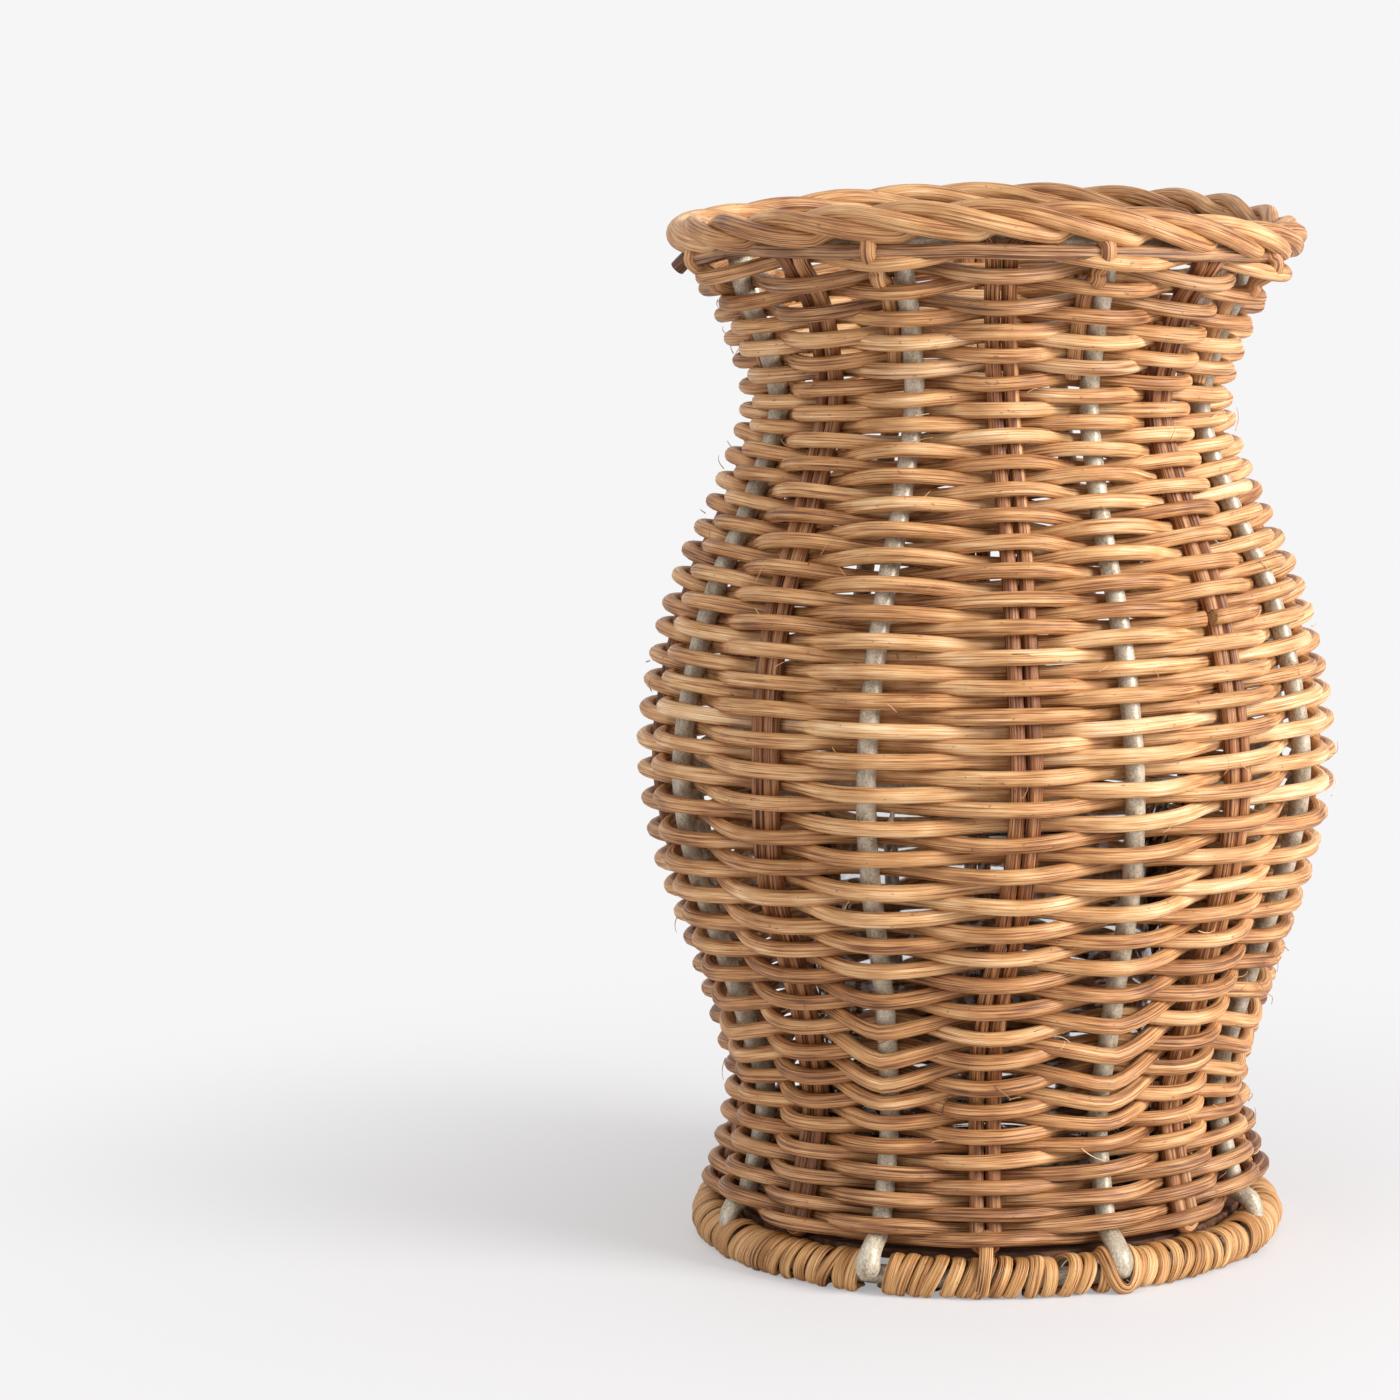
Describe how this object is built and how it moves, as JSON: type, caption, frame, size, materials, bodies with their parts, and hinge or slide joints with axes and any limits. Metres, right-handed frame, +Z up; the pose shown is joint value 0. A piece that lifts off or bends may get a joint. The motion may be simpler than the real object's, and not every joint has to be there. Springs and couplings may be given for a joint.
{
  "type": "rattan vase",
  "caption": "Flared rattan vase with a narrow neck, wide belly and narrow waist, woven round welded steel rods, with a rope rim, a lashed base ring and a lift-out glass liner.",
  "frame": {"origin": "middle of the base, on the surface that the vase stands on", "axes": "+Z up along the vase's axis; the pictured front faces -Y"},
  "size_m": [0.1544, 0.1544, 0.2269],
  "materials": {
    "powder_coated_steel": "grey-beige mottled powder coat, satin",
    "honey_cane": "natural rattan cane, fine grain along its length, matt",
    "brown_cane": "reddish brown rattan cane with dark grain, matt",
    "pale_cane": "light rattan cane, matt",
    "split_cane_lashing": "flat split rattan with ridged grain, satin",
    "brown_board": "dark brown board, matt",
    "clear_glass": "clear pressed glass"
  },
  "bodies": {
    "vase": {"frame_rod_1": "powder_coated_steel", "frame_rod_2": "powder_coated_steel", "frame_rod_3": "powder_coated_steel", "frame_rod_4": "powder_coated_steel", "frame_rod_5": "powder_coated_steel", "frame_rod_6": "powder_coated_steel", "frame_rod_7": "powder_coated_steel", "frame_rod_8": "powder_coated_steel", "base_ring": "powder_coated_steel", "belly_hoop": "powder_coated_steel", "top_ring": "powder_coated_steel", "stake_pair_1": "brown_cane", "stake_pair_2": "brown_cane", "stake_pair_3": "brown_cane", "stake_pair_4": "brown_cane", "stake_pair_5": "brown_cane", "stake_pair_6": "brown_cane", "stake_pair_7": "brown_cane", "stake_pair_8": "brown_cane", "side_stake_1": "pale_cane", "side_stake_2": "pale_cane", "side_stake_3": "pale_cane", "side_stake_4": "pale_cane", "side_stake_5": "pale_cane", "side_stake_6": "pale_cane", "side_stake_7": "pale_cane", "side_stake_8": "pale_cane", "weaver_a_1": "honey_cane", "weaver_a_2": "honey_cane", "weaver_a_3": "honey_cane", "weaver_a_4": "honey_cane", "weaver_a_5": "honey_cane", "weaver_a_6": "honey_cane", "weaver_b_1": "honey_cane", "weaver_b_2": "honey_cane", "weaver_b_3": "honey_cane", "weaver_b_4": "honey_cane", "weaver_b_5": "honey_cane", "weaver_b_6": "honey_cane", "base_lashing_1": "split_cane_lashing", "base_lashing_2": "split_cane_lashing", "base_lashing_3": "split_cane_lashing", "base_lashing_4": "split_cane_lashing", "base_lashing_5": "split_cane_lashing", "base_lashing_6": "split_cane_lashing", "base_lashing_7": "split_cane_lashing", "base_lashing_8": "split_cane_lashing", "floor_board": "brown_board"},
    "glass_insert": {"glass_liner": "clear_glass"}
  },
  "joints": [
    {"name": "glass_lift", "type": "slide", "parent": "vase", "child": "glass_insert", "axis": [0, 0, 1], "range_m": [0, 0.222]}
  ]
}
